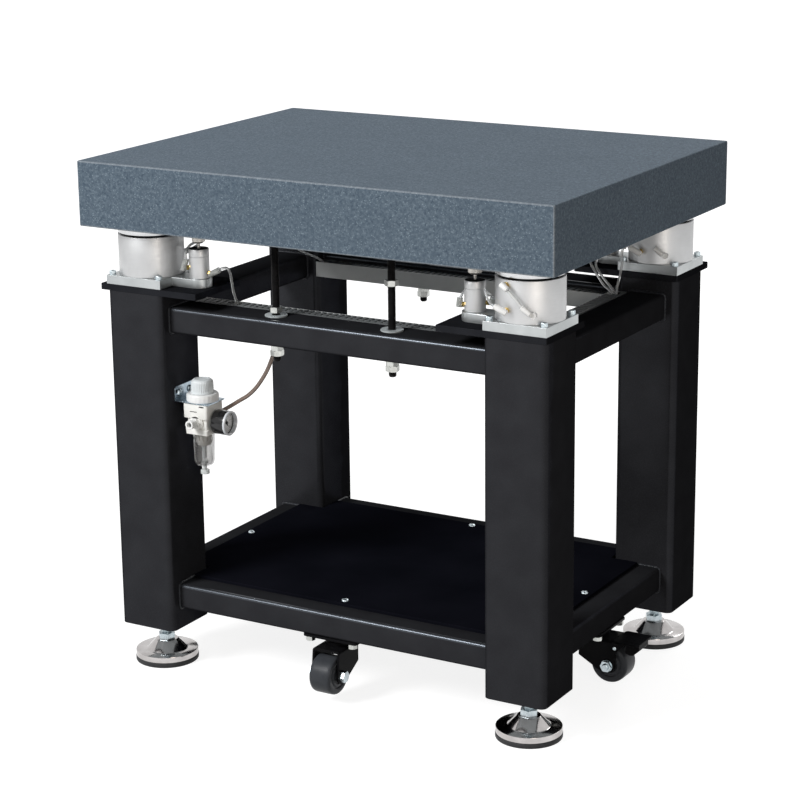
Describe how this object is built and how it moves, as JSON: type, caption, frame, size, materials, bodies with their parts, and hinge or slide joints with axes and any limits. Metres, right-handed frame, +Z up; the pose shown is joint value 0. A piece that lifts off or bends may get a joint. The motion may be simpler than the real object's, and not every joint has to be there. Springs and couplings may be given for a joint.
{
  "type": "vibration isolation table",
  "caption": "Workstation with a granite slab floating on air mounts, on a welded steel frame with levelling feet, casters, a shelf and air preparation.",
  "frame": {"origin": "on the floor, under the centre of the bounding box, which is the slab's centre", "axes": "+X along the long side, to the right as seen from the front, where the regulator hangs on the left leg; +Y to the rear; +Z up"},
  "size_m": [0.82, 0.6, 0.81],
  "materials": {
    "frame_black": "satin black powder coat",
    "shelf_black": "black powder coat with a slight sheen",
    "bright_zinc": "bluish zinc plate",
    "duct_grey": "mid-grey PVC",
    "satin_aluminium": "satin turned, bright edges",
    "stainless": "bare stainless steel",
    "black_rubber": "matt black",
    "white_fitting": "white or smoky plastic on brass nipples",
    "clear_tube": "clear polyurethane tube",
    "black_steel": "black oxide and black paint",
    "pale_zinc": "warm pale zinc plate",
    "regulator_white": "ivory white, semi-gloss",
    "ring_white": "bright white",
    "smoke_bowl": "smoky clear polycarbonate",
    "filter_white": "white",
    "gauge_black": "black",
    "dial_white": null,
    "clear_lens": "clear",
    "granite": "fine grey-blue granite, honed, with light specks",
    "chrome_foot": "polished chrome",
    "black_nylon": "dark nylon",
    "knob_grey": "light grey, fine ribs",
    "brass_spindle": "bare brass"
  },
  "bodies": {
    "frame": {"legs": "frame_black", "leg_foot_plates": "frame_black", "upper_rails": "frame_black", "lower_rails": "frame_black", "isolator_mounting_plates": "frame_black", "shelf_panel": "shelf_black", "pan_head_screws": "bright_zinc", "rail_washers": "bright_zinc", "regulator_bracket": "bright_zinc", "cable_ducts": "duct_grey", "duct_covers": "duct_grey", "isolator_base_plates": "satin_aluminium", "isolator_housings": "satin_aluminium", "level_valve_bodies": "satin_aluminium", "isolator_base_screws": "stainless", "isolator_diaphragms": "black_rubber", "push_in_fittings": "white_fitting", "air_lines": "clear_tube", "caster_top_plates": "black_steel", "caster_bolts": "pale_zinc", "regulator_body": "regulator_white", "regulator_ring_nut": "ring_white", "filter_bowl": "smoke_bowl", "filter_element": "filter_white", "gauge_case": "gauge_black", "gauge_dial": "dial_white", "gauge_lens": "clear_lens"},
    "table_top": {"granite_top": "granite", "isolator_top_caps": "satin_aluminium", "isolator_pistons": "satin_aluminium", "stop_rods": "black_steel", "stop_rod_nuts": "pale_zinc", "level_contact_heads": "stainless"},
    "valve_plungers": {"level_valve_plungers": "stainless"},
    "foot_pad_front_left": {"foot_base_front_left": "chrome_foot", "foot_rubber_front_left": "black_rubber"},
    "foot_screw_front_left": {"foot_stud_front_left": "bright_zinc"},
    "foot_pad_front_right": {"foot_base_front_right": "chrome_foot", "foot_rubber_front_right": "black_rubber"},
    "foot_screw_front_right": {"foot_stud_front_right": "bright_zinc"},
    "foot_pad_rear_left": {"foot_base_rear_left": "chrome_foot", "foot_rubber_rear_left": "black_rubber"},
    "foot_screw_rear_left": {"foot_stud_rear_left": "bright_zinc"},
    "foot_pad_rear_right": {"foot_base_rear_right": "chrome_foot", "foot_rubber_rear_right": "black_rubber"},
    "foot_screw_rear_right": {"foot_stud_rear_right": "bright_zinc"},
    "caster_swivel_front": {"caster_fork_front": "black_steel"},
    "wheel_front": {"caster_wheel_front": "black_nylon"},
    "caster_swivel_right": {"caster_fork_right": "black_steel"},
    "wheel_right": {"caster_wheel_right": "black_nylon"},
    "brake_right": {"brake_pedal_right": "black_steel"},
    "caster_swivel_rear": {"caster_fork_rear": "black_steel"},
    "wheel_rear": {"caster_wheel_rear": "black_nylon"},
    "caster_swivel_left": {"caster_fork_left": "black_steel"},
    "wheel_left": {"caster_wheel_left": "black_nylon"},
    "brake_left": {"brake_pedal_left": "black_steel"},
    "regulator_screw": {"regulator_spindle": "brass_spindle"},
    "pressure_knob": {"regulator_knob": "knob_grey"},
    "drain": {"bowl_drain_cock": "filter_white"},
    "gauge_pointer": {"gauge_needle": "gauge_black"}
  },
  "joints": [
    {"name": "top_float", "type": "slide", "parent": "frame", "child": "table_top", "axis": [0, 0, 1], "range_m": [-0.0025, 0.003], "stiffness_N_per_m": 38000, "springref_m": 0.03412, "deforming": ["isolator_diaphragms"]},
    {"name": "valve_plunger_travel", "type": "slide", "parent": "frame", "child": "valve_plungers", "axis": [0, 0, 1], "range_m": [-0.0025, 0.003]},
    {"name": "foot_height_front_left", "type": "slide", "parent": "frame", "child": "foot_pad_front_left", "axis": [0, 0, 1], "range_m": [-0.012, 0.012]},
    {"name": "foot_turn_front_left", "type": "hinge", "parent": "foot_pad_front_left", "child": "foot_screw_front_left", "pos_m": [-0.325, -0.222, 0.02], "axis": [0, 0, 1], "range_deg": [-2160, 2160]},
    {"name": "foot_height_front_right", "type": "slide", "parent": "frame", "child": "foot_pad_front_right", "axis": [0, 0, 1], "range_m": [-0.012, 0.012]},
    {"name": "foot_turn_front_right", "type": "hinge", "parent": "foot_pad_front_right", "child": "foot_screw_front_right", "pos_m": [0.325, -0.222, 0.02], "axis": [0, 0, 1], "range_deg": [-2160, 2160]},
    {"name": "foot_height_rear_left", "type": "slide", "parent": "frame", "child": "foot_pad_rear_left", "axis": [0, 0, 1], "range_m": [-0.012, 0.012]},
    {"name": "foot_turn_rear_left", "type": "hinge", "parent": "foot_pad_rear_left", "child": "foot_screw_rear_left", "pos_m": [-0.325, 0.222, 0.02], "axis": [0, 0, 1], "range_deg": [-2160, 2160]},
    {"name": "foot_height_rear_right", "type": "slide", "parent": "frame", "child": "foot_pad_rear_right", "axis": [0, 0, 1], "range_m": [-0.012, 0.012]},
    {"name": "foot_turn_rear_right", "type": "hinge", "parent": "foot_pad_rear_right", "child": "foot_screw_rear_right", "pos_m": [0.325, 0.222, 0.02], "axis": [0, 0, 1], "range_deg": [-2160, 2160]},
    {"name": "swivel_front", "type": "hinge", "parent": "frame", "child": "caster_swivel_front", "pos_m": [0, -0.222, 0.085], "axis": [0, 0, 1], "continuous": true},
    {"name": "wheel_spin_front", "type": "hinge", "parent": "caster_swivel_front", "child": "wheel_front", "pos_m": [0, -0.254, 0.046], "axis": [1, 0, 0], "continuous": true},
    {"name": "swivel_right", "type": "hinge", "parent": "frame", "child": "caster_swivel_right", "pos_m": [0.325, 0, 0.085], "axis": [0, 0, 1], "continuous": true},
    {"name": "wheel_spin_right", "type": "hinge", "parent": "caster_swivel_right", "child": "wheel_right", "pos_m": [0.357, 0, 0.046], "axis": [0, 1, 0], "continuous": true},
    {"name": "brake_press_right", "type": "hinge", "parent": "caster_swivel_right", "child": "brake_right", "pos_m": [0.37, 0, 0.077], "axis": [0, 1, 0], "range_deg": [0, 18]},
    {"name": "swivel_rear", "type": "hinge", "parent": "frame", "child": "caster_swivel_rear", "pos_m": [0, 0.222, 0.085], "axis": [0, 0, 1], "continuous": true},
    {"name": "wheel_spin_rear", "type": "hinge", "parent": "caster_swivel_rear", "child": "wheel_rear", "pos_m": [0, 0.254, 0.046], "axis": [-1, 0, 0], "continuous": true},
    {"name": "swivel_left", "type": "hinge", "parent": "frame", "child": "caster_swivel_left", "pos_m": [-0.325, 0, 0.085], "axis": [0, 0, 1], "continuous": true},
    {"name": "wheel_spin_left", "type": "hinge", "parent": "caster_swivel_left", "child": "wheel_left", "pos_m": [-0.357, 0, 0.046], "axis": [0, -1, 0], "continuous": true},
    {"name": "brake_press_left", "type": "hinge", "parent": "caster_swivel_left", "child": "brake_left", "pos_m": [-0.37, 0, 0.077], "axis": [0, -1, 0], "range_deg": [0, 18]},
    {"name": "pressure_set", "type": "hinge", "parent": "frame", "child": "regulator_screw", "pos_m": [-0.239, -0.222, 0.44], "axis": [0, 0, 1], "range_deg": [-720, 720]},
    {"name": "knob_unlock", "type": "slide", "parent": "regulator_screw", "child": "pressure_knob", "axis": [0, 0, 1], "range_m": [0, 0.003]},
    {"name": "drain_turn", "type": "hinge", "parent": "frame", "child": "drain", "pos_m": [-0.239, -0.222, 0.33], "axis": [0, 0, 1], "range_deg": [0, 90]},
    {"name": "gauge_reading", "type": "hinge", "parent": "frame", "child": "gauge_pointer", "pos_m": [-0.2, -0.222, 0.408], "axis": [1, 0, 0], "range_deg": [-108, 162], "stiffness_Nm_per_rad": 0.0004}
  ],
  "couplings": [
    {"joint": "valve_plunger_travel", "follows": "top_float", "ratio": 1},
    {"joint": "foot_turn_front_left", "follows": "foot_height_front_left", "rad_per_m": 3141.6},
    {"joint": "foot_turn_front_right", "follows": "foot_height_front_right", "rad_per_m": 3141.6},
    {"joint": "foot_turn_rear_left", "follows": "foot_height_rear_left", "rad_per_m": 3141.6},
    {"joint": "foot_turn_rear_right", "follows": "foot_height_rear_right", "rad_per_m": 3141.6}
  ]
}
